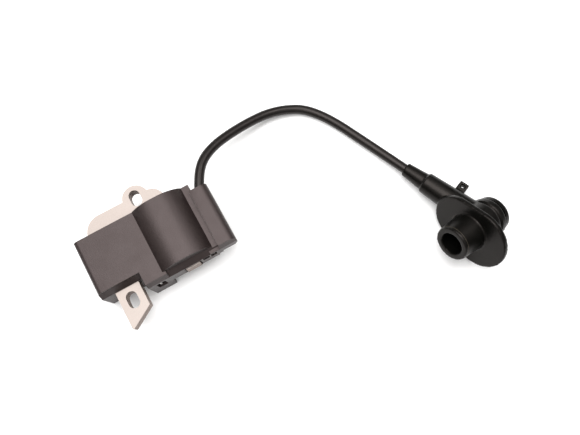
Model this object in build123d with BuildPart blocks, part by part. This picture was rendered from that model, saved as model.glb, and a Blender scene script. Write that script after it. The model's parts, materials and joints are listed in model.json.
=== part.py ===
from build123d import *
import math
import os

# Flywheel ignition coil of a small two-stroke engine. Millimetres.
# X runs along the case towards the lead tower, -Y faces the flywheel, Z is up.
# The origin is under the middle of the coil module, on the surface it stands on.

# Case
case_left = -34.3
case_back = 17.5
flat_top = 23.5
flat_front = -10.1
ledge_front = -12.3
step_left = -12.9
step_front = -17.0
front_face = -18.4
bulge_left = -3.3
bulge_axis = (10.8, 14.5)
bulge_radius = 13.5
bulge_top = bulge_axis[1] + bulge_radius
shoulder_x = 7.0
shoulder_run = shoulder_x - bulge_left
shoulder_rise = bulge_top - flat_top
shoulder_radius = (shoulder_run**2 + shoulder_rise**2) / (2 * shoulder_rise)
shoulder_turn = math.degrees(math.asin(shoulder_run / shoulder_radius))
web_top = 21.4
front_draft_foot = -15.6
bulge_front_edge = -15.4
tower_left = 25.2
tower_right = 34.3
tower_top = 24.0
tower_back = 13.4
tower_corner_radius = 3.6
tower_belly = (28.0, 12.8)
tower_belly_radius = 6.4
tower_foot = 11.5
tower_root = 20.0
wall = 2.0

# Core
sheet_thickness = 0.5
sheet_count = 14
core_bottom = 11.0
core_height = sheet_thickness * sheet_count
core_top = core_bottom + core_height
leg_left = -27.8
leg_right = -15.8
pole_tip = (-27.3, -31.6)
pole_corner = (-15.8, -24.7)
coil_leg_left = 6.55
coil_leg_right = 13.85
coil_leg_end = -18.9
yoke_back = 26.2
yoke_front = 17.6
yoke_left_radius = 8.8
yoke_right_radius = 7.0
ear_centre = (0.8, 25.0)
ear_radius = 6.6
front_slot_centre = (-21.8, -19.0)
slot_width = 5.5
slot_length = 8.4
rivet_places = [(-21.8, 4.0), (-21.8, 14.0)]
rivet_radius = 1.5

# Coil, wound round the second leg
coil_x = (coil_leg_left + coil_leg_right) / 2
coil_z = core_bottom + core_height / 2
coil_front = -13.6
coil_back = 15.2
coil_cavity_radius = 11.6

# Lead and boot
lead_radius = 2.5
lead_wire_radius = 0.55
seal_radius = 3.7
seal_length = 5.0
lead_points = [
    (26.97, 5.6, 19.0),
    (32.2, 20.0, 19.0),
    (43.3, 30.6, 16.6),
    (66.0, 36.3, 9.6),
    (86.5, 37.4, 4.0),
    (104.8, 28.0, 2.6),
    (122.07, -9.5, 3.2),
    (135.96, -44.72, 8.255),
]
running_gap = 0.05
lead_end_to_hub = 25.0

# Boot
nozzle_axis = Vector(-0.935, -0.10, 0.34).normalized()
hub_setback = 11.3
nozzle_length = 13.0
nozzle_base_radius = 9.7
nozzle_mouth_radius = 8.7
plug_bore_radius = 5.75
plug_bore_length = 14.0
spring_chamber_radius = 4.9
flange_thickness = 2.6
hub_radius = 10.2
hub_back = 16.6
spring_chamber_length = hub_back - 1.0
cap_gap = 1.2
cap_radius = 9.25
cap_back = 21.0
cap_neck_radius = 8.4
sleeve_start = 6.0
sleeve_end = 46.6
sleeve_step = 34.4
sleeve_radii = (6.7, 5.5)
collar_radii = (4.6, 3.55)
flange_arcs = {"lead_end": (7.5, 13.2), "broad_end": (-5.0, 16.0)}
lug = dict(start=15.4, thickness=5.0, reach=10.0, height=4.4, eye_radius=1.0)

os.makedirs("parts", exist_ok=True)


def save(builder, name):
    builder.part.label = name
    export_step(builder.part, f"parts/{name}.step")


# ---------------------------------------------------------------- core stack
with BuildPart() as core_laminations:
    with BuildSketch(Plane.XY.offset(core_bottom)):
        with BuildLine():
            Polyline(
                (leg_left, pole_tip[1] + 0.6),
                pole_tip,
                pole_corner,
                (leg_right, yoke_front),
                (coil_leg_left, yoke_front),
                (coil_leg_left, coil_leg_end),
                (coil_leg_right, coil_leg_end),
                (coil_leg_right, yoke_back - yoke_right_radius),
            )
            JernArc(
                (coil_leg_right, yoke_back - yoke_right_radius), (0, 1), yoke_right_radius, 90
            )
            Line(
                (coil_leg_right - yoke_right_radius, yoke_back),
                (leg_left + yoke_left_radius, yoke_back),
            )
            JernArc((leg_left + yoke_left_radius, yoke_back), (-1, 0), yoke_left_radius, 90)
            Line((leg_left, yoke_back - yoke_left_radius), (leg_left, pole_tip[1] + 0.6))
        make_face()
        with Locations(ear_centre):
            Circle(ear_radius)
        with Locations((ear_centre[0] - 1.4, yoke_back - 1.0)):
            Rectangle(15.6, 2.0)
        with Locations(ear_centre, front_slot_centre):
            SlotOverall(slot_length, slot_width, rotation=90, mode=Mode.SUBTRACT)
    extrude(amount=core_height)
    with Locations(*[(x, y, core_top) for x, y in rivet_places]):
        Hole(rivet_radius)
save(core_laminations, "core_laminations")

for number, (x, y) in enumerate(rivet_places, start=1):
    with BuildPart() as core_rivet:
        with BuildSketch(Plane.XY.offset(core_bottom)):
            with Locations((x, y)):
                Circle(rivet_radius)
        extrude(amount=core_height)
    save(core_rivet, f"core_rivet_{number}")

# ---------------------------------------------------------------- moulded case
leg_tunnel = (leg_left - 0.1, leg_right + 0.1)
tunnel_bottom = core_bottom - 0.1
tunnel_top = core_top + 0.1
tray = dict(x0=case_left + wall, x1=-5.5, y0=ledge_front + wall, y1=case_back - wall, top=9.0)
blade_pocket = dict(x=-6.9, z=13.8, width=4.6, height=8.6, depth=5.0)
test_pocket = dict(x=17.5, z=18.0, width=3.4, height=3.4, depth=2.2)
earth_pocket = dict(x=21.5, z=17.6, width=3.0, height=4.6, depth=2.4)
pole_recess = dict(x0=5.9, x1=14.6, z0=10.4, z1=19.2, depth=2.4)

with BuildPart() as coil_case:
    # flat electronics half, with the ledge that the front leg comes out of
    with BuildSketch(Plane.YZ.offset(case_left)):
        Polygon(
            (case_back, 0),
            (case_back, flat_top),
            (flat_front, flat_top),
            (flat_front, flat_top - 1.6),
            (ledge_front, core_top + 0.4),
            (ledge_front, 0),
            align=None,
        )
    extrude(amount=bulge_left - case_left + 6.0)
    left_edges = coil_case.edges().filter_by(Axis.Y).group_by(Axis.X)[0].sort_by(Axis.Z)
    fillet(left_edges[-1], 2.5)
    # block beside the front leg
    with BuildSketch(Plane.YZ.offset(step_left)):
        Polygon(
            (0, 0),
            (0, flat_top),
            (step_front, flat_top),
            (front_face, 20),
            (front_face, 0),
            align=None,
        )
    extrude(amount=bulge_left - step_left + 1.5)
    # half-round coil housing: its section along Y, cut to the drafted front
    with BuildPart(mode=Mode.PRIVATE) as bulge:
        with BuildSketch(Plane.XZ.offset(-case_back)):
            with Locations(bulge_axis):
                Circle(bulge_radius)
            # broad shoulder that rises from a crease in the flat top
            with BuildLine():
                shoulder = CenterArc(
                    (shoulder_x, bulge_top - shoulder_radius), shoulder_radius, 90, shoulder_turn
                )
                Polyline(shoulder @ 1, (bulge_left, bulge_axis[1]), bulge_axis)
                Polyline(bulge_axis, (bulge_axis[0], bulge_top), shoulder @ 0)
            make_face()
            # web between the housing and the tower
            Polygon(
                bulge_axis,
                (bulge_axis[0], web_top),
                (tower_left + 1.0, web_top),
                (tower_left + 1.0, tower_belly[1]),
                align=None,
            )
        extrude(amount=case_back - front_face)
        with BuildSketch(Plane.YZ.offset(bulge_left)):
            Polygon(
                (case_back, 0),
                (case_back, bulge_top),
                (bulge_front_edge, bulge_top),
                (bulge_front_edge, 21.8),
                (front_face, 20),
                (front_face, 10.5),
                (front_draft_foot, 0),
                align=None,
            )
        extrude(amount=tower_left + 1.0 - bulge_left, mode=Mode.INTERSECT)
    add(bulge.part)
    # lead tower
    with BuildPart(mode=Mode.PRIVATE) as tower:
        with BuildSketch(Plane.XZ.offset(-tower_back)):
            with BuildLine():
                corner_start = (tower_right - tower_corner_radius, tower_top)
                corner_end = (tower_right, tower_top - tower_corner_radius)
                belly_start = (tower_right, 18.6)
                Polyline((tower_root, tower_foot), (tower_root, 21.0), (tower_left, 21.0))
                Polyline((tower_left, 21.0), (tower_left, tower_top), corner_start)
                RadiusArc(corner_start, corner_end, tower_corner_radius)
                Line(corner_end, belly_start)
                RadiusArc(belly_start, tower_belly, tower_belly_radius)
                Polyline(tower_belly, (24.5, tower_foot), (tower_root, tower_foot))
            make_face()
        extrude(amount=tower_back - front_face)
        with BuildSketch(Plane.YZ.offset(tower_root - 1.0)):
            Polygon(
                (tower_back, 10),
                (tower_back, tower_top),
                (step_front - 0.2, tower_top),
                (front_face, 20.5),
                (front_face, 15),
                (-17.2, 10),
                align=None,
            )
        extrude(amount=tower_right - tower_root + 1.0, mode=Mode.INTERSECT)
    add(tower.part)
    # front leg tunnel, right through the flat half
    with BuildSketch(Plane.XY.offset(tunnel_bottom)):
        with Locations(((leg_tunnel[0] + leg_tunnel[1]) / 2, 2.5)):
            Rectangle(leg_tunnel[1] - leg_tunnel[0], 40)
    extrude(amount=tunnel_top - tunnel_bottom, mode=Mode.SUBTRACT)
    # coil leg way, through the front wall and the back wall
    with BuildSketch(Plane.XY.offset(tunnel_bottom)):
        with Locations((coil_x, 0)):
            Rectangle(coil_leg_right - coil_leg_left + 0.2, 60)
    extrude(amount=tunnel_top - tunnel_bottom, mode=Mode.SUBTRACT)
    # room for the windings
    with BuildSketch(Plane.XZ.offset(-coil_back)):
        with Locations((coil_x, coil_z)):
            Circle(coil_cavity_radius)
    extrude(amount=coil_back - coil_front, mode=Mode.SUBTRACT)
    # potting window under the coil
    with BuildSketch(Plane.XY):
        with Locations((coil_x, (coil_front + coil_back) / 2)):
            Rectangle(13.0, coil_back - coil_front)
    extrude(amount=coil_z, mode=Mode.SUBTRACT)
    # electronics tray, open underneath
    with BuildSketch(Plane.XY):
        with Locations(
            (
                (tray["x0"] + tray["x1"]) / 2,
                (tray["y0"] + tray["y1"]) / 2,
            )
        ):
            Rectangle(tray["x1"] - tray["x0"], tray["y1"] - tray["y0"])
    extrude(amount=tray["top"], mode=Mode.SUBTRACT)
    # wire way between the tray and the coil
    with BuildSketch(Plane.YZ.offset(tray["x1"] - 1.0)):
        with Locations((0, 5.0)):
            Rectangle(8.0, 5.0)
    extrude(amount=9.0, mode=Mode.SUBTRACT)
    # recess round the coil leg's pole end
    with BuildSketch(Plane.XZ.offset(-front_face - pole_recess["depth"])):
        with Locations(
            (
                (pole_recess["x0"] + pole_recess["x1"]) / 2,
                (pole_recess["z0"] + pole_recess["z1"]) / 2,
            )
        ):
            Rectangle(pole_recess["x1"] - pole_recess["x0"], pole_recess["z1"] - pole_recess["z0"])
    extrude(amount=5.0, mode=Mode.SUBTRACT)
    # pockets in the front wall
    for pocket in (blade_pocket, test_pocket, earth_pocket):
        with BuildSketch(Plane.XZ.offset(-front_face - pocket["depth"])):
            with Locations((pocket["x"], pocket["z"])):
                Rectangle(pocket["width"], pocket["height"])
        extrude(amount=8.0, mode=Mode.SUBTRACT)
    # bore for the lead and its seal, slanted a little outwards
    lead_start = Vector(*lead_points[0])
    lead_way = (Vector(*lead_points[1]) - lead_start).normalized()
    lead_exit = lead_start + lead_way * ((tower_back - lead_start.Y) / lead_way.Y)
    lead_plane = Plane(origin=lead_start, z_dir=lead_way)
    exit_length = (lead_exit - lead_start).length
    with BuildSketch(lead_plane):
        Circle(lead_radius)
    extrude(amount=20.0, mode=Mode.SUBTRACT)
    with BuildSketch(lead_plane.offset(exit_length - seal_length)):
        Circle(seal_radius)
    extrude(amount=seal_length + 4.0, mode=Mode.SUBTRACT)
    # high-voltage well from the coil to the lead's inner end
    with BuildSketch(Plane.YZ.offset(coil_x + coil_cavity_radius - 2.0)):
        with Locations((2.6, 19.0)):
            Circle(1.6)
    extrude(amount=5.5, mode=Mode.SUBTRACT)
save(coil_case, "coil_case")

with BuildPart() as lead_seal:
    with BuildSketch(lead_plane.offset(exit_length - seal_length)):
        Circle(seal_radius)
        Circle(lead_radius, mode=Mode.SUBTRACT)
    extrude(amount=seal_length - 1.3)
save(lead_seal, "lead_seal")

# ---------------------------------------------------------------- coil
bobbin_front = coil_front + 0.4
bobbin_length = coil_back - coil_front - 0.8
leg_room = (coil_leg_right - coil_leg_left + 0.2, core_height + 0.2)


def coil_plane(from_front):
    """A plane across the coil, this far behind the bobbins' front end."""
    return Plane(origin=(coil_x, bobbin_front + from_front, coil_z), x_dir=(1, 0, 0), z_dir=(0, 1, 0))


with BuildPart() as primary_bobbin:
    with BuildSketch(coil_plane(0)):
        Rectangle(leg_room[0] + 1.8, leg_room[1] + 1.8)
    extrude(amount=bobbin_length)
    for start in (0, bobbin_length - 1.0):
        with BuildSketch(coil_plane(start)):
            Circle(8.3)
        extrude(amount=1.0)
    with BuildSketch(coil_plane(0)):
        Rectangle(*leg_room)
    extrude(amount=bobbin_length, mode=Mode.SUBTRACT)
save(primary_bobbin, "primary_bobbin")

with BuildPart() as primary_winding:
    with BuildSketch(coil_plane(1.0)):
        Circle(8.0)
        Rectangle(leg_room[0] + 1.8, leg_room[1] + 1.8, mode=Mode.SUBTRACT)
    extrude(amount=bobbin_length - 2.0)
save(primary_winding, "primary_winding")

section_count = 7
section_pitch = (bobbin_length - 1.0) / section_count
with BuildPart() as secondary_bobbin:
    with BuildSketch(coil_plane(0)):
        Circle(9.3)
    extrude(amount=bobbin_length)
    for number in range(section_count + 1):
        with BuildSketch(coil_plane(number * section_pitch)):
            Circle(11.3)
        extrude(amount=1.0)
    with BuildSketch(coil_plane(0)):
        Circle(8.4)
    extrude(amount=bobbin_length, mode=Mode.SUBTRACT)
save(secondary_bobbin, "secondary_bobbin")

with BuildPart() as secondary_winding:
    for number in range(section_count):
        with BuildSketch(coil_plane(number * section_pitch + 1.0)):
            Circle(11.0)
            Circle(9.3, mode=Mode.SUBTRACT)
        extrude(amount=section_pitch - 1.0)
save(secondary_winding, "secondary_winding")

# ---------------------------------------------------------------- electronics
board_bottom = 6.2
board_thickness = 1.0
winding_pin_places = [(-8.0, -2.0), (-8.0, 2.0)]
winding_pin_radius = 0.4
tray_x = (tray["x0"] + tray["x1"]) / 2
tray_y = (tray["y0"] + tray["y1"]) / 2
tray_size = (tray["x1"] - tray["x0"], tray["y1"] - tray["y0"])

with BuildPart() as circuit_board:
    with BuildSketch(Plane.XY.offset(board_bottom)):
        with Locations((tray_x, tray_y)):
            Rectangle(tray_size[0] - 1.0, tray_size[1] - 1.0)
    extrude(amount=board_thickness)
    with Locations(*[(x, y, board_bottom + board_thickness) for x, y in winding_pin_places]):
        Hole(winding_pin_radius)
save(circuit_board, "circuit_board")

# name: centre x, centre y, length, width, height below the board
board_parts = {
    "power_transistor": (-25.5, 8.0, 6.6, 6.2, 2.4),
    "control_chip": (-14.0, 9.0, 5.0, 4.0, 1.6),
    "timing_resistor": (-14.5, 2.0, 3.2, 1.6, 0.7),
    "trigger_resistor": (-14.5, -1.5, 3.2, 1.6, 0.7),
    "clamp_diode": (-14.5, -5.5, 4.4, 2.6, 2.1),
}
for name, (x, y, length, width, height) in board_parts.items():
    with BuildPart() as board_part:
        with BuildSketch(Plane.XY.offset(board_bottom - height)):
            with Locations((x, y)):
                Rectangle(length, width)
        extrude(amount=height)
        chamfer(board_part.faces().sort_by(Axis.Z)[0].edges(), 0.15)
    save(board_part, name)

with BuildPart() as storage_capacitor:
    with BuildSketch(Plane.XY.offset(board_bottom - 4.4)):
        with Locations((-25.5, -3.0)):
            RectangleRounded(9.0, 5.0, 1.0)
    extrude(amount=4.4)
save(storage_capacitor, "storage_capacitor")

for number, place in enumerate(winding_pin_places, start=1):
    with BuildPart() as winding_pin:
        with BuildSketch(Plane.XY.offset(board_bottom - 1.2)):
            with Locations(place):
                Circle(winding_pin_radius)
        extrude(amount=board_thickness + 2.6)
    save(winding_pin, f"winding_pin_{number}")

# resin that closes the tray, flush with a shallow rim
with BuildPart() as potting_fill:
    with BuildSketch(Plane.XY.offset(0.6)):
        with Locations((tray_x, tray_y)):
            Rectangle(*tray_size)
    extrude(amount=1.1)
save(potting_fill, "potting_fill")

with BuildPart() as coil_potting:
    with BuildSketch(Plane.XY.offset(1.2)):
        with Locations((coil_x, (coil_front + coil_back) / 2)):
            Rectangle(13.0, coil_back - coil_front)
    extrude(amount=1.6)
save(coil_potting, "coil_potting")

# earth strap soldered to the board under the front leg
with BuildPart() as ground_strap:
    with BuildSketch(Plane.XY.offset(board_bottom + board_thickness)):
        with Locations((-21.8, 12.0)):
            Rectangle(4.0, 5.0)
    extrude(amount=0.5)
save(ground_strap, "ground_strap")

# ---------------------------------------------------------------- terminals
pocket_floor = front_face + blade_pocket["depth"]
with BuildPart() as stop_terminal:
    with BuildSketch(Plane.XZ.offset(-pocket_floor)):
        with Locations((blade_pocket["x"] - 0.6, blade_pocket["z"])):
            Rectangle(0.8, 6.3)
    extrude(amount=4.2)
save(stop_terminal, "stop_terminal")

earth_floor = front_face + earth_pocket["depth"]
with BuildPart() as earth_terminal:
    with BuildSketch(Plane.XZ.offset(-earth_floor)):
        with Locations((earth_pocket["x"], earth_pocket["z"])):
            Rectangle(0.6, 3.2)
    extrude(amount=1.8)
save(earth_terminal, "earth_terminal")

# ---------------------------------------------------------------- high-voltage path
pin_length = 5.0
with BuildPart() as lead_contact_pin:
    with BuildSketch(lead_plane):
        Circle(lead_wire_radius)
    extrude(amount=pin_length)
save(lead_contact_pin, "lead_contact_pin")

# ---------------------------------------------------------------- lead
lead_vectors = [Vector(*point) for point in lead_points]
runs = [after - before for before, after in zip(lead_vectors, lead_vectors[1:])]
corner_radii = []
for before, after in zip(runs, runs[1:]):
    half_turn = math.radians(before.get_angle(after)) / 2
    corner_radii.append(0.45 * min(before.length, after.length) / math.tan(half_turn))
print("lead runs", [round(run.length, 1) for run in runs])
print("lead turns", [round(a.get_angle(b), 1) for a, b in zip(runs, runs[1:])])
print("lead radii", [round(radius, 1) for radius in corner_radii])

with BuildLine() as lead_route:
    FilletPolyline(*lead_points, radius=corner_radii)
lead_length = sum(edge.length for edge in lead_route.line.edges())
print("lead length", round(lead_length, 2))

with BuildPart() as ht_lead_jacket:
    with BuildSketch(lead_plane):
        Circle(lead_radius)
        Circle(lead_wire_radius, mode=Mode.SUBTRACT)
    sweep(path=lead_route.line)
expected = math.pi * (lead_radius**2 - lead_wire_radius**2) * lead_length
print("jacket volume", round(ht_lead_jacket.part.volume, 1), "section by length", round(expected, 1))
with BuildPart(mode=Mode.PRIVATE) as pin_room:
    with BuildSketch(lead_plane):
        Circle(lead_wire_radius)
    extrude(amount=pin_length)
save(ht_lead_jacket, "ht_lead_jacket")

with BuildPart() as ht_lead_core:
    with BuildSketch(lead_plane):
        Circle(lead_wire_radius)
    sweep(path=lead_route.line)
    add(pin_room.part, mode=Mode.SUBTRACT)
print("wire volume", round(ht_lead_core.part.volume, 2))
save(ht_lead_core, "ht_lead_core")

# ---------------------------------------------------------------- boot
lead_end = lead_vectors[-1]
sleeve_way = (lead_vectors[-2] - lead_end).normalized()
hub_centre = lead_end - sleeve_way * lead_end_to_hub
flange_centre = hub_centre + nozzle_axis * hub_setback
flange_long = (sleeve_way - nozzle_axis * sleeve_way.dot(nozzle_axis)).normalized()
nozzle_plane = Plane(origin=flange_centre, x_dir=flange_long, z_dir=nozzle_axis)
sleeve_plane = Plane(origin=hub_centre, x_dir=Vector(0.946, 0.323, 0), z_dir=sleeve_way)
print("flange centre", flange_centre, "nozzle mouth", flange_centre + nozzle_axis * nozzle_length)
print("hub centre", hub_centre, "sleeve way", sleeve_way)

with BuildPart() as boot_body:
    # oval sealing flange, broader away from the lead
    with BuildSketch(nozzle_plane.offset(-flange_thickness)):
        with BuildLine():
            lead_arc = CenterArc((flange_arcs["lead_end"][0], 0), flange_arcs["lead_end"][1], -78, 156)
            broad_arc = CenterArc((flange_arcs["broad_end"][0], 0), flange_arcs["broad_end"][1], 78, 204)
            Line(lead_arc @ 1, broad_arc @ 0)
            Line(broad_arc @ 1, lead_arc @ 0)
        make_face()
    extrude(amount=flange_thickness)
    # nozzle, a little conical
    with BuildSketch(nozzle_plane):
        Circle(nozzle_base_radius)
    with BuildSketch(nozzle_plane.offset(nozzle_length)):
        Circle(nozzle_mouth_radius)
    loft()
    # hub behind the flange
    with BuildSketch(nozzle_plane.offset(-hub_back)):
        Circle(hub_radius)
    extrude(amount=hub_back - 1.0)
    # tapered sleeve, thick part then collar
    with BuildSketch(sleeve_plane.offset(sleeve_start)):
        Circle(sleeve_radii[0])
    with BuildSketch(sleeve_plane.offset(sleeve_step)):
        Circle(sleeve_radii[1])
    loft()
    with BuildSketch(sleeve_plane.offset(sleeve_step)):
        Circle(collar_radii[0])
    with BuildSketch(sleeve_plane.offset(sleeve_end)):
        Circle(collar_radii[1])
    loft()
    # lug with an eye
    with BuildSketch(sleeve_plane.offset(lug["start"])):
        with Locations((6.8, 1.6)):
            Rectangle(lug["reach"], lug["height"])
    extrude(amount=lug["thickness"])
    # plug bore, with the chamber behind it, and the way for the lead
    with BuildSketch(nozzle_plane.offset(nozzle_length - plug_bore_length)):
        Circle(plug_bore_radius)
    extrude(amount=plug_bore_length, mode=Mode.SUBTRACT)
    with BuildSketch(nozzle_plane.offset(-hub_back)):
        Circle(spring_chamber_radius)
    extrude(amount=spring_chamber_length, mode=Mode.SUBTRACT)
    with BuildSketch(sleeve_plane):
        Circle(lead_radius + running_gap)
    extrude(amount=sleeve_end + 1.0, mode=Mode.SUBTRACT)
    lug_plane = Plane(
        origin=hub_centre + sleeve_way * (lug["start"] + lug["thickness"] / 2) + sleeve_plane.x_dir * 9.6,
        x_dir=sleeve_way,
        z_dir=sleeve_plane.y_dir,
    )
    with BuildSketch(lug_plane.offset(-8.0)):
        Circle(lug["eye_radius"])
    extrude(amount=16.0, mode=Mode.SUBTRACT)
print("boot volume", boot_body.part.volume, "solids", len(boot_body.part.solids()))
save(boot_body, "boot_body")

with BuildPart() as boot_cap:
    with BuildSketch(nozzle_plane.offset(-cap_back)):
        Circle(cap_radius)
    extrude(amount=cap_back - hub_back - cap_gap)
    outer_rim = boot_cap.faces().sort_by(Axis(flange_centre, nozzle_axis))[0].edges()
    fillet(outer_rim, 1.6)
    with BuildSketch(nozzle_plane.offset(-hub_back - cap_gap)):
        Circle(cap_neck_radius)
    extrude(amount=cap_gap)
    with BuildSketch(nozzle_plane.offset(-hub_back)):
        Circle(spring_chamber_radius)
    extrude(amount=0.4)
save(boot_cap, "boot_cap")

# brass pin on the lead's end, which the boot's spring turns against
with BuildPart() as lead_end_terminal:
    with BuildSketch(sleeve_plane.offset(lead_end_to_hub - 0.8)):
        Circle(2.3)
    extrude(amount=0.8)
    with BuildSketch(sleeve_plane.offset(8.0)):
        Circle(0.9)
    extrude(amount=lead_end_to_hub - 8.0)
save(lead_end_terminal, "lead_end_terminal")

spring_turns = 5
spring_pitch = 2.0
spring_radius = 3.6
spring_wire = 0.45
spring_start = nozzle_length - 25.0
with BuildPart() as plug_contact_spring:
    with BuildLine():
        helix = Helix(
            pitch=spring_pitch,
            height=spring_pitch * spring_turns,
            radius=spring_radius,
            center=flange_centre + nozzle_axis * spring_start,
            direction=nozzle_axis,
        )
    with BuildSketch(Plane(origin=helix @ 0, z_dir=helix % 0)):
        Circle(spring_wire)
    sweep()
print("spring volume", plug_contact_spring.part.volume)
save(plug_contact_spring, "plug_contact_spring")
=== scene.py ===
import bpy
import bmesh
import json
import math
import random
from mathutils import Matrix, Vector


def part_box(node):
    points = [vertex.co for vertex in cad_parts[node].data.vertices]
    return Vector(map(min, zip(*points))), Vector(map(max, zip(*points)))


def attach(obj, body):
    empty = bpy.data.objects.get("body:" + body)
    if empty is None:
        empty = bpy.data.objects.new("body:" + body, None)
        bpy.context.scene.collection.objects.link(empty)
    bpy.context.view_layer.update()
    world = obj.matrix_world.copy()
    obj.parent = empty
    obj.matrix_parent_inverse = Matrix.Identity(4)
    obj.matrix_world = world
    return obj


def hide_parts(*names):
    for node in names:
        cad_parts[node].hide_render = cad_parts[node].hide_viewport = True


# Flywheel ignition coil with its lead and plug boot. Metres, in the model's own frame.
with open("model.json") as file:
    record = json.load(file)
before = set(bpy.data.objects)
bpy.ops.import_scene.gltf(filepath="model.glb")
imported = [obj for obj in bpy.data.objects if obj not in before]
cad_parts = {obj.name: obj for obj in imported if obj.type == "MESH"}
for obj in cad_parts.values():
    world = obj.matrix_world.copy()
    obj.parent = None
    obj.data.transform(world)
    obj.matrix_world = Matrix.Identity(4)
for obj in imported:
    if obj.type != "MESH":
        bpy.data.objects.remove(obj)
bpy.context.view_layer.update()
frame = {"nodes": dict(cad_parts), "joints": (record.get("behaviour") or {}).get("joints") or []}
nodes = frame["nodes"]
scene = bpy.context.scene
millimetre = 0.001
print("frame loaded", len(nodes), "nodes")


# Small helpers for node trees.
def addNode(tree, kind, **settings):
    node = tree.nodes.new(kind)
    for name, value in settings.items():
        setattr(node, name, value)
    return node


def setInputs(node, values):
    for name, value in values.items():
        node.inputs[name].default_value = value


def newGroup(name, kind, inputs, outputs):
    group = bpy.data.node_groups.new(name, kind)
    for direction, sockets in (("INPUT", inputs), ("OUTPUT", outputs)):
        for label, socketType, default in sockets:
            socket = group.interface.new_socket(label, in_out=direction, socket_type=socketType)
            if default is not None:
                socket.default_value = default
    return group, group.nodes.new("NodeGroupInput"), group.nodes.new("NodeGroupOutput")


def floatSocket(label, default=None):
    return (label, "NodeSocketFloat", default)


grainLook = dict(
    fine={"Detail": 3.0, "Roughness": 0.65},
    broad={"Detail": 4.0, "Roughness": 0.6},
    stretch={"From Min": 0.32, "From Max": 0.68},
)


# Fine moulding or casting grain: a shade that varies between 0 and 1, and a height.
def buildGrainGroup():
    group, given, result = newGroup(
        "surfaceGrain",
        "ShaderNodeTree",
        [
            floatSocket("Scale", 2000.0),
            floatSocket("Patch Scale", 120.0),
            floatSocket("Patchiness", 0.5),
        ],
        [floatSocket("Shade"), floatSocket("Height")],
    )
    place = addNode(group, "ShaderNodeTexCoord")
    fine = addNode(group, "ShaderNodeTexNoise")
    setInputs(fine, grainLook["fine"])
    broad = addNode(group, "ShaderNodeTexNoise")
    setInputs(broad, grainLook["broad"])
    blend = addNode(group, "ShaderNodeMix", data_type="FLOAT")
    group.links.new(place.outputs["Object"], fine.inputs["Vector"])
    group.links.new(place.outputs["Object"], broad.inputs["Vector"])
    group.links.new(given.outputs["Scale"], fine.inputs["Scale"])
    group.links.new(given.outputs["Patch Scale"], broad.inputs["Scale"])
    group.links.new(given.outputs["Patchiness"], blend.inputs["Factor"])
    group.links.new(fine.outputs["Fac"], blend.inputs["A"])
    group.links.new(broad.outputs["Fac"], blend.inputs["B"])
    stretch = addNode(group, "ShaderNodeMapRange")
    setInputs(stretch, grainLook["stretch"])
    group.links.new(blend.outputs["Result"], stretch.inputs["Value"])
    group.links.new(stretch.outputs["Result"], result.inputs["Shade"])
    group.links.new(fine.outputs["Fac"], result.inputs["Height"])
    return group


speckPatches = dict(noise={"Scale": 160.0, "Detail": 2.0}, rarity=0.56)


# Sparse pale specks of dust and chips, as a mask.
def buildSpeckGroup():
    group, given, result = newGroup(
        "dustSpecks",
        "ShaderNodeTree",
        [floatSocket("Scale", 900.0), floatSocket("Cover", 0.12)],
        [floatSocket("Mask")],
    )
    place = addNode(group, "ShaderNodeTexCoord")
    cells = addNode(group, "ShaderNodeTexVoronoi", feature="F1")
    patches = addNode(group, "ShaderNodeTexNoise")
    setInputs(patches, speckPatches["noise"])
    near = addNode(group, "ShaderNodeMath", operation="LESS_THAN")
    rare = addNode(group, "ShaderNodeMath", operation="GREATER_THAN")
    rare.inputs[1].default_value = speckPatches["rarity"]
    both = addNode(group, "ShaderNodeMath", operation="MULTIPLY")
    group.links.new(place.outputs["Object"], cells.inputs["Vector"])
    group.links.new(place.outputs["Object"], patches.inputs["Vector"])
    group.links.new(given.outputs["Scale"], cells.inputs["Scale"])
    group.links.new(cells.outputs["Distance"], near.inputs[0])
    group.links.new(given.outputs["Cover"], near.inputs[1])
    group.links.new(patches.outputs["Fac"], rare.inputs[0])
    group.links.new(near.outputs[0], both.inputs[0])
    group.links.new(rare.outputs[0], both.inputs[1])
    group.links.new(both.outputs[0], result.inputs["Mask"])
    return group


grainGroup = buildGrainGroup()
speckGroup = buildSpeckGroup()
bumpStrength = 0.6


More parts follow.
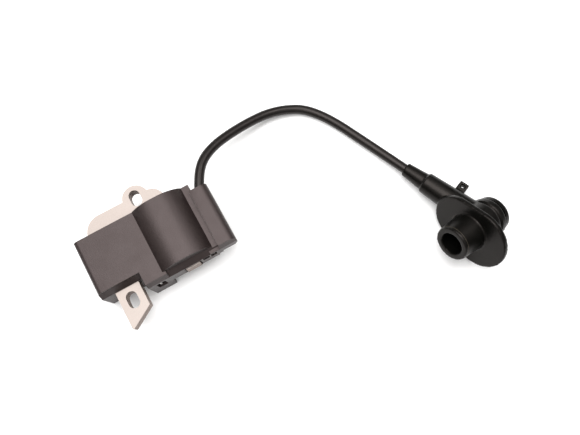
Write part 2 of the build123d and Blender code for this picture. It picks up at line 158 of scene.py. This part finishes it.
# One finish: two colours that the grain mixes, a roughness span, a bump, and specks if any.
def makeFinish(name, look):
    material = bpy.data.materials.new(name)
    material.use_nodes = True
    tree = material.node_tree
    shader = tree.nodes["Principled BSDF"]
    shader.inputs["Metallic"].default_value = look.get("metallic", 0.0)
    shader.inputs["Specular IOR Level"].default_value = look.get("specular", 0.5)
    shader.inputs["Specular Tint"].default_value = (*look.get("tint", (1.0, 1.0, 1.0)), 1.0)
    grain = addNode(tree, "ShaderNodeGroup", node_tree=grainGroup)
    setInputs(
        grain,
        {
            "Scale": look["grain"],
            "Patch Scale": look["patch"],
            "Patchiness": look.get("patchiness", 0.5),
        },
    )
    colour = addNode(tree, "ShaderNodeMix", data_type="RGBA")
    colour.inputs["A"].default_value = (*look["dark"], 1.0)
    colour.inputs["B"].default_value = (*look["light"], 1.0)
    tree.links.new(grain.outputs["Shade"], colour.inputs["Factor"])
    base = colour.outputs["Result"]
    if "speckColour" in look:
        specks = addNode(tree, "ShaderNodeGroup", node_tree=speckGroup)
        setInputs(specks, {"Scale": look["speckScale"], "Cover": look["speckCover"]})
        dusted = addNode(tree, "ShaderNodeMix", data_type="RGBA")
        dusted.inputs["B"].default_value = (*look["speckColour"], 1.0)
        tree.links.new(specks.outputs["Mask"], dusted.inputs["Factor"])
        tree.links.new(base, dusted.inputs["A"])
        base = dusted.outputs["Result"]
    tree.links.new(base, shader.inputs["Base Color"])
    rough = addNode(tree, "ShaderNodeMapRange")
    setInputs(rough, {"To Min": look["rough"][0], "To Max": look["rough"][1]})
    tree.links.new(grain.outputs["Shade"], rough.inputs["Value"])
    tree.links.new(rough.outputs["Result"], shader.inputs["Roughness"])
    bump = addNode(tree, "ShaderNodeBump")
    setInputs(bump, {"Strength": bumpStrength, "Distance": look["bump"]})
    tree.links.new(grain.outputs["Height"], bump.inputs["Height"])
    tree.links.new(bump.outputs["Normal"], shader.inputs["Normal"])
    return material


finishLooks = {
    "casePlastic": dict(
        dark=(0.0105, 0.0070, 0.0066), light=(0.0210, 0.0150, 0.0140), rough=(0.38, 0.54),
        grain=2200.0, patch=140.0, patchiness=0.35, bump=0.00012, specular=0.5,
        tint=(1.0, 0.84, 0.83), speckColour=(0.10, 0.08, 0.07), speckScale=420.0, speckCover=0.04,
    ),
    "coreSheet": dict(
        dark=(0.29, 0.245, 0.22), light=(0.40, 0.345, 0.315), rough=(0.42, 0.55),
        grain=1500.0, patch=70.0, patchiness=0.6, bump=0.00003, metallic=0.3,
        speckColour=(0.20, 0.15, 0.12), speckScale=520.0, speckCover=0.05,
    ),
    "coreEdge": dict(
        dark=(0.12, 0.085, 0.07), light=(0.30, 0.235, 0.20), rough=(0.45, 0.62),
        grain=1800.0, patch=260.0, patchiness=0.5, bump=0.00004, metallic=0.4,
    ),
    "pottingResin": dict(
        dark=(0.020, 0.018, 0.017), light=(0.032, 0.028, 0.026), rough=(0.22, 0.34),
        grain=600.0, patch=60.0, patchiness=0.6, bump=0.00006,
    ),
    "rivetSteel": dict(
        dark=(0.45, 0.44, 0.43), light=(0.62, 0.61, 0.60), rough=(0.28, 0.40),
        grain=1500.0, patch=200.0, bump=0.00002, metallic=1.0,
    ),
    "bobbinNylon": dict(
        dark=(0.62, 0.58, 0.48), light=(0.74, 0.70, 0.60), rough=(0.38, 0.50),
        grain=900.0, patch=120.0, bump=0.00003,
    ),
    "copperWire": dict(
        dark=(0.50, 0.20, 0.09), light=(0.72, 0.33, 0.17), rough=(0.24, 0.36),
        grain=1600.0, patch=300.0, bump=0.00002, metallic=0.9,
    ),
    "boardLaminate": dict(
        dark=(0.10, 0.16, 0.06), light=(0.16, 0.23, 0.09), rough=(0.36, 0.48),
        grain=2600.0, patch=400.0, bump=0.00002,
    ),
    "chipPlastic": dict(
        dark=(0.018, 0.018, 0.019), light=(0.030, 0.030, 0.031), rough=(0.42, 0.55),
        grain=2600.0, patch=300.0, bump=0.00003,
    ),
    "capacitorFilm": dict(
        dark=(0.30, 0.055, 0.035), light=(0.40, 0.085, 0.05), rough=(0.24, 0.34),
        grain=900.0, patch=160.0, bump=0.00003,
    ),
    "tinnedMetal": dict(
        dark=(0.58, 0.57, 0.55), light=(0.72, 0.71, 0.69), rough=(0.24, 0.36),
        grain=1500.0, patch=200.0, bump=0.00002, metallic=1.0,
    ),
    "terminalBrass": dict(
        dark=(0.42, 0.30, 0.12), light=(0.60, 0.45, 0.20), rough=(0.28, 0.42),
        grain=1500.0, patch=200.0, bump=0.00002, metallic=0.95,
    ),
    "leadRubber": dict(
        dark=(0.0040, 0.0034, 0.0031), light=(0.0085, 0.0072, 0.0066), rough=(0.30, 0.42),
        grain=2600.0, patch=160.0, patchiness=0.5, bump=0.00004, specular=0.28,
        tint=(1.0, 0.90, 0.87),
    ),
    "sealRubber": dict(
        dark=(0.014, 0.013, 0.013), light=(0.024, 0.022, 0.021), rough=(0.46, 0.6),
        grain=2200.0, patch=200.0, bump=0.00004,
    ),
    "bootRubber": dict(
        dark=(0.0012, 0.0012, 0.0010), light=(0.0032, 0.0031, 0.0026), rough=(0.26, 0.40),
        grain=1800.0, patch=110.0, patchiness=0.6, bump=0.00006, specular=0.19,
        tint=(1.0, 0.90, 0.85),
        speckColour=(0.05, 0.045, 0.035), speckScale=700.0, speckCover=0.07,
    ),
    # Boot flash: the boot's rubber painted far paler, as painted highlight along the ridges.
    "bootFlashPaintedHighlight": dict(
        dark=(0.030, 0.024, 0.017), light=(0.11, 0.088, 0.062), rough=(0.5, 0.65),
        grain=1800.0, patch=500.0, bump=0.00004,
    ),
    "caseFlash": dict(
        dark=(0.03, 0.026, 0.024), light=(0.12, 0.105, 0.095), rough=(0.5, 0.65),
        grain=1500.0, patch=700.0, bump=0.00004,
    ),
    "springSteel": dict(
        dark=(0.50, 0.49, 0.47), light=(0.64, 0.63, 0.61), rough=(0.22, 0.34),
        grain=1500.0, patch=200.0, bump=0.00002, metallic=1.0,
    ),
}
finishes = {name: makeFinish(name, look) for name, look in finishLooks.items()}

nodeFinishes = {
    "casePlastic": ["coil_case"],
    "pottingResin": ["potting_fill", "coil_potting"],
    "coreSheet": ["core_laminations"],
    "rivetSteel": ["core_rivet_1", "core_rivet_2"],
    "bobbinNylon": ["primary_bobbin", "secondary_bobbin"],
    "copperWire": [
        "primary_winding", "secondary_winding", "ground_strap", "ht_lead_core",
    ],
    "boardLaminate": ["circuit_board"],
    "chipPlastic": [
        "power_transistor", "control_chip", "timing_resistor", "trigger_resistor", "clamp_diode",
    ],
    "capacitorFilm": ["storage_capacitor"],
    "tinnedMetal": ["winding_pin_1", "winding_pin_2", "earth_terminal", "stop_terminal"],
    "terminalBrass": ["lead_contact_pin", "lead_end_terminal"],
    "leadRubber": ["ht_lead_jacket"],
    "sealRubber": ["lead_seal"],
    "bootRubber": ["boot_body", "boot_cap"],
    "springSteel": ["plug_contact_spring"],
}
for finishName, nodeNames in nodeFinishes.items():
    for nodeName in nodeNames:
        mesh = nodes[nodeName].data
        mesh.materials.clear()
        mesh.materials.append(finishes[finishName])
print("finishes made", len(finishes))


# Helpers for pieces.
def linkPiece(name, data):
    piece = bpy.data.objects.new(name, data)
    scene.collection.objects.link(piece)
    return piece


def bakeHost(host, name):
    graph = bpy.context.evaluated_depsgraph_get()
    graph.update()
    mesh = bpy.data.meshes.new_from_object(host.evaluated_get(graph))
    bpy.data.objects.remove(host)
    return linkPiece(name, mesh)


def setModifierInputs(modifier, values):
    sockets = {item.name: item.identifier for item in modifier.node_group.interface.items_tree}
    for name, value in values.items():
        modifier[sockets[name]] = value


def smoothByAngle(mesh, degrees):
    mesh.shade_smooth()
    mesh.set_sharp_from_angle(angle=math.radians(degrees))


joinedLook = dict(merge=0.000002, flatWithin=0.4)  # metres and degrees


# A copy of a node's mesh with its corners joined, flat areas as single faces.
def joinedCopy(nodeName, pieceName, dissolve=True):
    mesh = nodes[nodeName].data.copy()
    mesh.name = pieceName
    shape = bmesh.new()
    shape.from_mesh(mesh)
    bmesh.ops.remove_doubles(shape, verts=shape.verts, dist=joinedLook["merge"])
    if dissolve:
        bmesh.ops.dissolve_limit(
            shape,
            angle_limit=math.radians(joinedLook["flatWithin"]),
            verts=shape.verts,
            edges=shape.edges,
        )
    shape.to_mesh(mesh)
    shape.free()
    return linkPiece(pieceName, mesh)


def arcPoints(centre, radius, startDegrees, endDegrees, steps):
    points = []
    for step in range(steps + 1):
        angle = math.radians(startDegrees + (endDegrees - startDegrees) * step / steps)
        points.append((centre[0] + radius * math.cos(angle), centre[1] + radius * math.sin(angle)))
    return points


# Camera.
cameraLook = dict(place=(0.0302, -0.0770, 0.2917), tilt=13.3, turn=-29.4, lens=35.94)
cameraData = bpy.data.cameras.new("studioCamera")
cameraData.sensor_width = 36.0
cameraData.lens = cameraLook["lens"]
camera = linkPiece("studioCamera", cameraData)
camera.location = cameraLook["place"]
tilt, turn = math.radians(cameraLook["tilt"]), math.radians(cameraLook["turn"])
camera.rotation_euler = (tilt, 0.0, turn)
scene.camera = camera

# High-tension lead, from its pin in the tower to its end in the boot's sleeve.
lead = dict(
    radius=2.5,
    route=[
        (26.97, 5.6, 19.0),
        (32.2, 20.0, 19.0),
        (43.3, 30.6, 16.6),
        (66.0, 36.3, 9.6),
        (86.5, 37.4, 4.0),
        (104.8, 28.0, 2.6),
        (122.07, -9.5, 3.2),
        (129.0, -27.1, 5.72),  # kept straight from here into the sleeve
        (135.96, -44.72, 8.255),
    ],
    length=0.1745,
)
leadCurve = bpy.data.curves.new("highTensionLead", "CURVE")
leadCurve.dimensions = "3D"
leadSpline = leadCurve.splines.new("NURBS")
leadSpline.points.add(len(lead["route"]) - 1)
for point, place in zip(leadSpline.points, lead["route"]):
    point.co = (*[value * millimetre for value in place], 1.0)
leadSpline.order_u = 3
leadSpline.use_endpoint_u = True
leadSpline.resolution_u = 16
leadCurve.bevel_depth = lead["radius"] * millimetre
leadCurve.bevel_resolution = 8
leadCurve.use_fill_caps = True
leadCurve.materials.append(finishes["leadRubber"])
leadPiece = linkPiece("highTensionLead", leadCurve)
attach(leadPiece, "coil_module")
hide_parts("ht_lead_jacket", "ht_lead_core")
print("lead laid")

# Core: a stack of punched sheets. Sizes in millimetres.
core = dict(
    sheets=14,
    pitch=0.5,
    gap=0.05,
    shift=0.02,
    legLeft=-27.8,
    legRight=-15.8,
    poleTip=(-27.3, -31.6),
    poleCorner=(-15.8, -24.7),
    coilLegLeft=6.55,
    coilLegRight=13.85,
    coilLegEnd=-18.9,
    tipFlat=0.6,
    yokeFront=17.6,
    yokeBack=26.2,
    yokeLeftRadius=8.8,
    yokeRightRadius=7.0,
    ear=(0.8, 25.0),
    earRadius=6.6,
    frontSlot=(-21.8, -19.0),
    slotRadius=2.75,
    slotStraight=1.45,
    rivets=[(-21.8, 4.0), (-21.8, 14.0)],
    rivetRadius=1.5,
    rivetSteps=24,
    slotSteps=16,
    earSteps=28,
    rightSweep=(0, 86, 14),  # start, end and steps, so that the arc stops where the ear begins
    leftSweep=(90, 180, 16),
)


def coreOutline():
    rightRadius, leftRadius = core["yokeRightRadius"], core["yokeLeftRadius"]
    rightCentre = (core["coilLegRight"] - rightRadius, core["yokeBack"] - rightRadius)
    leftCentre = (core["legLeft"] + leftRadius, core["yokeBack"] - leftRadius)
    earRise = math.degrees(math.asin((core["yokeBack"] - core["ear"][1]) / core["earRadius"]))
    points = [
        (core["legLeft"], core["poleTip"][1] + core["tipFlat"]),
        core["poleTip"],
        core["poleCorner"],
        (core["legRight"], core["yokeFront"]),
        (core["coilLegLeft"], core["yokeFront"]),
        (core["coilLegLeft"], core["coilLegEnd"]),
        (core["coilLegRight"], core["coilLegEnd"]),
    ]
    points += arcPoints(rightCentre, rightRadius, *core["rightSweep"])
    points += arcPoints(core["ear"], core["earRadius"], earRise, 180 - earRise, core["earSteps"])
    points += arcPoints(leftCentre, leftRadius, *core["leftSweep"])
    return points


def slotOutline(centre):
    x, y = centre
    straight, radius, steps = core["slotStraight"], core["slotRadius"], core["slotSteps"]
    upper = arcPoints((x, y + straight), radius, 0, 180, steps)
    lower = arcPoints((x, y - straight), radius, 180, 360, steps)
    return upper + lower


# A full circle, left open by one step because its last point would meet its first.
def rivetOutline(centre):
    steps = core["rivetSteps"]
    return arcPoints(centre, core["rivetRadius"], 0, 360 * (steps - 1) / steps, steps - 1)


def outlineMesh(name, loops):
    verts, edges = [], []
    for loop in loops:
        first = len(verts)
        verts += [(x * millimetre, y * millimetre, 0.0) for x, y in loop]
        edges += [(first + i, first + (i + 1) % len(loop)) for i in range(len(loop))]
    mesh = bpy.data.meshes.new(name)
    mesh.from_pydata(verts, edges, [])
    return mesh


# Fills the outline, gives it a sheet's thickness, and stacks the sheets with small uneven shifts.
def buildSheetStackTree():
    tree, given, result = newGroup(
        "sheetStack",
        "GeometryNodeTree",
        [
            ("Outline", "NodeSocketGeometry", None),
            ("Sheets", "NodeSocketInt", 14),
            floatSocket("Pitch", 0.0005),
            floatSocket("Gap", 0.00004),
            floatSocket("Shift", 0.00002),
            floatSocket("Base Height", 0.0),
            ("Seed", "NodeSocketInt", 4),
            ("Face Finish", "NodeSocketMaterial", None),
            ("Edge Finish", "NodeSocketMaterial", None),
        ],
        [("Geometry", "NodeSocketGeometry", None)],
    )
    link = tree.links.new
    toCurve = addNode(tree, "GeometryNodeMeshToCurve")
    fill = addNode(tree, "GeometryNodeFillCurve", mode="NGONS")
    thickness = addNode(tree, "ShaderNodeMath", operation="SUBTRACT")
    extrude = addNode(tree, "GeometryNodeExtrudeMesh")
    extrude.inputs["Individual"].default_value = False
    underside = addNode(tree, "GeometryNodeFlipFaces")
    closed = addNode(tree, "GeometryNodeJoinGeometry")
    merged = addNode(tree, "GeometryNodeMergeByDistance")
    merged.inputs["Distance"].default_value = 0.000001
    faceFinish = addNode(tree, "GeometryNodeSetMaterial")
    edgeFinish = addNode(tree, "GeometryNodeSetMaterial")
    step = addNode(tree, "ShaderNodeCombineXYZ")
    line = addNode(tree, "GeometryNodeMeshLine")
    base = addNode(tree, "ShaderNodeCombineXYZ")
    link(given.outputs["Base Height"], base.inputs["Z"])
    link(base.outputs["Vector"], line.inputs["Start Location"])
    randomShift = addNode(tree, "FunctionNodeRandomValue", data_type="FLOAT_VECTOR")
    lowShift = addNode(tree, "ShaderNodeMath", operation="MULTIPLY")
    lowShift.inputs[1].default_value = -1.0
    lowVector = addNode(tree, "ShaderNodeCombineXYZ")
    highVector = addNode(tree, "ShaderNodeCombineXYZ")
    shifted = addNode(tree, "GeometryNodeSetPosition")
    stack = addNode(tree, "GeometryNodeInstanceOnPoints")
    realize = addNode(tree, "GeometryNodeRealizeInstances")
    link(given.outputs["Outline"], toCurve.inputs["Mesh"])
    link(toCurve.outputs["Curve"], fill.inputs["Curve"])
    link(given.outputs["Pitch"], thickness.inputs[0])
    link(given.outputs["Gap"], thickness.inputs[1])
    link(fill.outputs["Mesh"], extrude.inputs["Mesh"])
    link(thickness.outputs[0], extrude.inputs["Offset Scale"])
    link(extrude.outputs["Mesh"], edgeFinish.inputs["Geometry"])
    link(extrude.outputs["Side"], edgeFinish.inputs["Selection"])
    link(given.outputs["Edge Finish"], edgeFinish.inputs["Material"])
    link(edgeFinish.outputs["Geometry"], faceFinish.inputs["Geometry"])
    link(extrude.outputs["Top"], faceFinish.inputs["Selection"])
    link(given.outputs["Face Finish"], faceFinish.inputs["Material"])
    link(fill.outputs["Mesh"], underside.inputs["Mesh"])
    underFinish = addNode(tree, "GeometryNodeSetMaterial")
    link(underside.outputs["Mesh"], underFinish.inputs["Geometry"])
    link(given.outputs["Face Finish"], underFinish.inputs["Material"])
    link(underFinish.outputs["Geometry"], closed.inputs["Geometry"])
    link(faceFinish.outputs["Geometry"], closed.inputs["Geometry"])
    link(closed.outputs["Geometry"], merged.inputs["Geometry"])
    link(given.outputs["Pitch"], step.inputs["Z"])
    link(step.outputs["Vector"], line.inputs["Offset"])
    link(given.outputs["Sheets"], line.inputs["Count"])
    link(given.outputs["Shift"], lowShift.inputs[0])
    for axis in ("X", "Y"):
        link(lowShift.outputs[0], lowVector.inputs[axis])
        link(given.outputs["Shift"], highVector.inputs[axis])
    link(lowVector.outputs["Vector"], randomShift.inputs["Min"])
    link(highVector.outputs["Vector"], randomShift.inputs["Max"])
    link(given.outputs["Seed"], randomShift.inputs["Seed"])
    link(line.outputs["Mesh"], shifted.inputs["Geometry"])
    link(randomShift.outputs["Value"], shifted.inputs["Offset"])
    link(shifted.outputs["Geometry"], stack.inputs["Points"])
    link(merged.outputs["Geometry"], stack.inputs["Instance"])
    link(stack.outputs["Instances"], realize.inputs["Geometry"])
    link(realize.outputs["Geometry"], result.inputs["Geometry"])
    return tree


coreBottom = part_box("core_laminations")[0][2]
loops = [coreOutline(), slotOutline(core["ear"]), slotOutline(core["frontSlot"])]
loops += [rivetOutline(place) for place in core["rivets"]]
coreHost = linkPiece("coreOutline", outlineMesh("coreOutline", loops))
coreModifier = coreHost.modifiers.new("sheetStack", "NODES")
coreModifier.node_group = buildSheetStackTree()
setModifierInputs(
    coreModifier,
    {
        "Sheets": core["sheets"],
        "Pitch": core["pitch"] * millimetre,
        "Gap": core["gap"] * millimetre,
        "Shift": core["shift"] * millimetre,
        "Base Height": coreBottom,
        "Face Finish": finishes["coreSheet"],
        "Edge Finish": finishes["coreEdge"],
    },
)
coreStack = bakeHost(coreHost, "coreSheetStack")
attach(coreStack, "coil_module")
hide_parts("core_laminations")
print("core stacked", len(coreStack.data.polygons), "faces")

# Moulded case: the node's own shape with its edges eased.
caseLook = dict(edge=0.00055, segments=3, angle=28)
caseShell = joinedCopy("coil_case", "caseShell")
smoothByAngle(caseShell.data, caseLook["angle"])
easing = caseShell.modifiers.new("easedEdges", "BEVEL")
easing.width = caseLook["edge"]
easing.segments = caseLook["segments"]
easing.limit_method = "ANGLE"
easing.angle_limit = math.radians(caseLook["angle"])
easing.harden_normals = True
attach(caseShell, "coil_module")
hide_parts("coil_case")
print("case eased")

# Rubber boot: the node's shape with its joins softened as a moulding.
bootLook = dict(
    voxel=0.0004,
    smooth=10,
    smoothFactor=0.5,
    grooveAlong=-12.6,
    grooveHalf=0.85,
    grooveDepth=1.2,
    grooveEnd=0.72,  # the groove stops where a point lies this much towards the sleeve
    hubSkin=8.9,
    skinMargin=0.4,
)
bootShape = dict(
    nozzleAxis=(-0.935, -0.10, 0.34),
    setback=11.3,
    baseRadius=9.75,
    mouthRadius=8.75,
    nozzle=13.0,
    hubRadius=10.2,
    capRadius=9.25,
)
swivel = frame["joints"][0]
sleeveWay = Vector(swivel["axis"]).normalized()
nozzleAxis = Vector(bootShape["nozzleAxis"]).normalized()
flangeLong = (sleeveWay - nozzleAxis * sleeveWay.dot(nozzleAxis)).normalized()
flangeSide = nozzleAxis.cross(flangeLong)
flangeCentre = Vector(swivel["pos_m"]) + nozzleAxis * bootShape["setback"] * millimetre


def softenedCopy(nodeName, pieceName, voxel, rounds):
    host = joinedCopy(nodeName, pieceName + "Host", dissolve=False)
    remesh = host.modifiers.new("remesh", "REMESH")
    remesh.mode = "VOXEL"
    remesh.voxel_size = voxel
    smooth = host.modifiers.new("smooth", "SMOOTH")
    smooth.factor = bootLook["smoothFactor"]
    smooth.iterations = rounds
    piece = bakeHost(host, pieceName)
    piece.data.materials.clear()
    piece.data.materials.append(finishes["bootRubber"])
    piece.data.shade_smooth()
    return piece


# The dark groove between the hub and its cap, left out where the sleeve joins.
def cutHubGroove(piece):
    outermost = bootShape["hubRadius"] + bootLook["skinMargin"]
    for vertex in piece.data.vertices:
        offset = (vertex.co - flangeCentre) / millimetre
        along = offset.dot(nozzleAxis)
        outward = offset - nozzleAxis * along
        distance = abs(along - bootLook["grooveAlong"]) / bootLook["grooveHalf"]
        onHub = bootLook["hubSkin"] < outward.length < outermost
        clearOfSleeve = outward.normalized().dot(flangeLong) < bootLook["grooveEnd"]
        if distance < 1.0 and onHub and clearOfSleeve:
            depth = bootLook["grooveDepth"] * (1.0 - distance**2)
            vertex.co -= outward.normalized() * depth * millimetre


plugBoot = softenedCopy("boot_body", "plugBoot", bootLook["voxel"], bootLook["smooth"])
cutHubGroove(plugBoot)
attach(plugBoot, "plug_boot")
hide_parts("boot_body")
print("boot softened", len(plugBoot.data.polygons), "faces")


beadSides = 6


# A thin uneven bead along each path, as moulding flash is.
def buildBeadTree():
    tree, given, result = newGroup(
        "flashBead",
        "GeometryNodeTree",
        [
            ("Paths", "NodeSocketGeometry", None),
            floatSocket("Radius", 0.00012),
            floatSocket("Thinnest", 0.3),
            ("Seed", "NodeSocketInt", 7),
            ("Finish", "NodeSocketMaterial", None),
        ],
        [("Geometry", "NodeSocketGeometry", None)],
    )
    link = tree.links.new
    toCurve = addNode(tree, "GeometryNodeMeshToCurve")
    profile = addNode(tree, "GeometryNodeCurvePrimitiveCircle")
    profile.inputs["Resolution"].default_value = beadSides
    width = addNode(tree, "FunctionNodeRandomValue", data_type="FLOAT")
    width.inputs[3].default_value = 1.0
    sweep = addNode(tree, "GeometryNodeCurveToMesh")
    sweep.inputs["Fill Caps"].default_value = True
    realize = addNode(tree, "GeometryNodeRealizeInstances")
    finish = addNode(tree, "GeometryNodeSetMaterial")
    link(given.outputs["Paths"], toCurve.inputs["Mesh"])
    link(given.outputs["Radius"], profile.inputs["Radius"])
    link(given.outputs["Thinnest"], width.inputs[2])
    link(given.outputs["Seed"], width.inputs["Seed"])
    link(toCurve.outputs["Curve"], sweep.inputs["Curve"])
    link(profile.outputs["Curve"], sweep.inputs["Profile Curve"])
    link(width.outputs[1], sweep.inputs["Scale"])
    link(sweep.outputs["Mesh"], realize.inputs["Geometry"])
    link(realize.outputs["Geometry"], finish.inputs["Geometry"])
    link(given.outputs["Finish"], finish.inputs["Material"])
    link(finish.outputs["Geometry"], result.inputs["Geometry"])
    return tree


beadTree = buildBeadTree()


def makeBeads(name, paths, radius, thinnest, finishName, body):
    verts, edges = [], []
    for path in paths:
        first = len(verts)
        verts += [tuple(point) for point in path]
        edges += [(first + i, first + i + 1) for i in range(len(path) - 1)]
    mesh = bpy.data.meshes.new(name)
    mesh.from_pydata(verts, edges, [])
    host = linkPiece(name + "Paths", mesh)
    modifier = host.modifiers.new("flashBead", "NODES")
    modifier.node_group = beadTree
    setModifierInputs(
        modifier, {"Radius": radius, "Thinnest": thinnest, "Finish": finishes[finishName]}
    )
    piece = bakeHost(host, name)
    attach(piece, body)
    return piece


# Flash lines and parting marks on the boot. Their finish is painted highlight: the boot's rubber
# made far paler. A ring is its place along the nozzle's axis, its height over the skin, its sweep
# in degrees and its steps; a mark is its angle and its places.
bootFlashLook = dict(
    radius=0.00011,
    thinnest=0.35,
    baseRing=(0.55, 0.25, -20, 150, 70),
    mouthRing=(1.6, 0.12, 150, 420, 80),
    markHeight=0.02,
    hubMarks=[(118, (7.0, 8.0, 9.0, 10.2)), (96, (14.2, 15.0, 15.8))],
    capMarks=[(108, (18.0, 18.8, 19.4))],
)


def roundNozzle(along, radius, startDegrees, endDegrees, steps):
    centre = flangeCentre + nozzleAxis * along * millimetre
    return [
        centre + (flangeLong * x + flangeSide * y) * millimetre
        for x, y in arcPoints((0, 0), radius, startDegrees, endDegrees, steps)
    ]


def markAlong(radius, degrees, places):
    return [roundNozzle(-along, radius, degrees, degrees, 1)[0] for along in places]


baseAlong, baseHeight, *baseSweep = bootFlashLook["baseRing"]
mouthBack, mouthHeight, *mouthSweep = bootFlashLook["mouthRing"]
hubSurface = bootShape["hubRadius"] + bootFlashLook["markHeight"]
capSurface = bootShape["capRadius"] + bootFlashLook["markHeight"]
bootFlashPaths = [
    roundNozzle(baseAlong, bootShape["baseRadius"] + baseHeight, *baseSweep),
    roundNozzle(
        bootShape["nozzle"] - mouthBack, bootShape["mouthRadius"] + mouthHeight, *mouthSweep
    ),
]
bootFlashPaths += [markAlong(hubSurface, *mark) for mark in bootFlashLook["hubMarks"]]
bootFlashPaths += [markAlong(capSurface, *mark) for mark in bootFlashLook["capMarks"]]
bootFlashPaintedHighlight = makeBeads(
    "bootFlashPaintedHighlight",
    bootFlashPaths,
    bootFlashLook["radius"],
    bootFlashLook["thinnest"],
    "bootFlashPaintedHighlight",
    "plug_boot",
)

# Flash along the tower's inner top edge.
towerFlashLook = dict(
    x=25.2,
    z=23.88,
    front=-16.6,
    back=12.9,
    steps=90,
    wander=0.12,
    seed=11,
    radius=0.00016,
    thinnest=0.15,
)
wander = random.Random(towerFlashLook["seed"])
towerReach = towerFlashLook["back"] - towerFlashLook["front"]
towerPath = []
for step in range(towerFlashLook["steps"] + 1):
    y = towerFlashLook["front"] + towerReach * step / towerFlashLook["steps"]
    x = towerFlashLook["x"] + wander.uniform(-1.0, 1.0) * towerFlashLook["wander"]
    towerPath.append(Vector((x, y, towerFlashLook["z"])) * millimetre)
towerFlash = makeBeads(
    "towerFlash",
    [towerPath],
    towerFlashLook["radius"],
    towerFlashLook["thinnest"],
    "caseFlash",
    "coil_module",
)
print("flash laid")

# Floor and light.
floorLook = dict(
    size=3.0, drop=0.00002, shade=(0.86, 0.86, 0.86), rough=0.9, specular=0.1, glow=0.1
)
floorMaterial = bpy.data.materials.new("paleFloor")
floorMaterial.use_nodes = True
floorShader = floorMaterial.node_tree.nodes["Principled BSDF"]
floorShader.inputs["Base Color"].default_value = (*floorLook["shade"], 1.0)
floorShader.inputs["Roughness"].default_value = floorLook["rough"]
floorShader.inputs["Specular IOR Level"].default_value = floorLook["specular"]
floorShader.inputs["Emission Color"].default_value = (1.0, 1.0, 1.0, 1.0)
floorShader.inputs["Emission Strength"].default_value = floorLook["glow"]
halfFloor = floorLook["size"] / 2
floorMesh = bpy.data.meshes.new("paleFloor")
floorMesh.from_pydata(
    [
        (x * halfFloor, y * halfFloor, -floorLook["drop"])
        for x, y in ((-1, -1), (1, -1), (1, 1), (-1, 1))
    ],
    [],
    [(0, 1, 2, 3)],
)
floorMesh.materials.append(floorMaterial)
floor = linkPiece("paleFloor", floorMesh)

world = bpy.data.worlds.new("studioAir")
scene.world = world
world.use_nodes = True
airLook = dict(
    horizon=0.07,
    zenith=1.2,
    riseFrom=0.25,
    glowColour=(1.0, 0.985, 0.97, 1.0),
    backdrop=1.0,
)


# Bright above, dim round the sides, and an even pale backdrop where the camera sees it.
def buildAir(tree):
    light = tree.nodes["Background"]
    place = addNode(tree, "ShaderNodeTexCoord")
    parts = addNode(tree, "ShaderNodeSeparateXYZ")
    height = addNode(tree, "ShaderNodeMapRange", interpolation_type="SMOOTHSTEP")
    setInputs(
        height,
        {
            "From Min": airLook["riseFrom"],
            "To Min": airLook["horizon"],
            "To Max": airLook["zenith"],
        },
    )
    backdrop = addNode(tree, "ShaderNodeBackground")
    backdrop.inputs["Strength"].default_value = airLook["backdrop"]
    backdrop.inputs["Color"].default_value = (1.0, 1.0, 1.0, 1.0)
    rays = addNode(tree, "ShaderNodeLightPath")
    chosen = addNode(tree, "ShaderNodeMixShader")
    light.inputs["Color"].default_value = airLook["glowColour"]
    tree.links.new(place.outputs["Generated"], parts.inputs["Vector"])
    tree.links.new(parts.outputs["Z"], height.inputs["Value"])
    tree.links.new(height.outputs["Result"], light.inputs["Strength"])
    tree.links.new(rays.outputs["Is Camera Ray"], chosen.inputs["Fac"])
    tree.links.new(light.outputs["Background"], chosen.inputs[1])
    tree.links.new(backdrop.outputs["Background"], chosen.inputs[2])
    tree.links.new(chosen.outputs["Shader"], tree.nodes["World Output"].inputs["Surface"])


buildAir(world.node_tree)

softboxes = [
    dict(
        name="overheadSoftbox",
        place=(-0.03, 0.12, 0.75),
        aim=(0.04, -0.02, 0.0),
        size=0.6,
        power=6.5,
    ),
    dict(
        name="farSoftbox",
        place=(0.5, 0.05, 0.7),
        aim=(0.08, -0.03, 0.0),
        size=0.22,
        power=1.6,
    ),
]
for box in softboxes:
    light = bpy.data.lights.new(box["name"], "AREA")
    light.size = box["size"]
    light.energy = box["power"]
    lamp = linkPiece(box["name"], light)
    lamp.location = box["place"]
    beam = Vector(box["aim"]) - Vector(box["place"])
    lamp.rotation_euler = beam.to_track_quat("-Z", "Y").to_euler()
scene.view_settings.view_transform = "Standard"
print("stage lit")
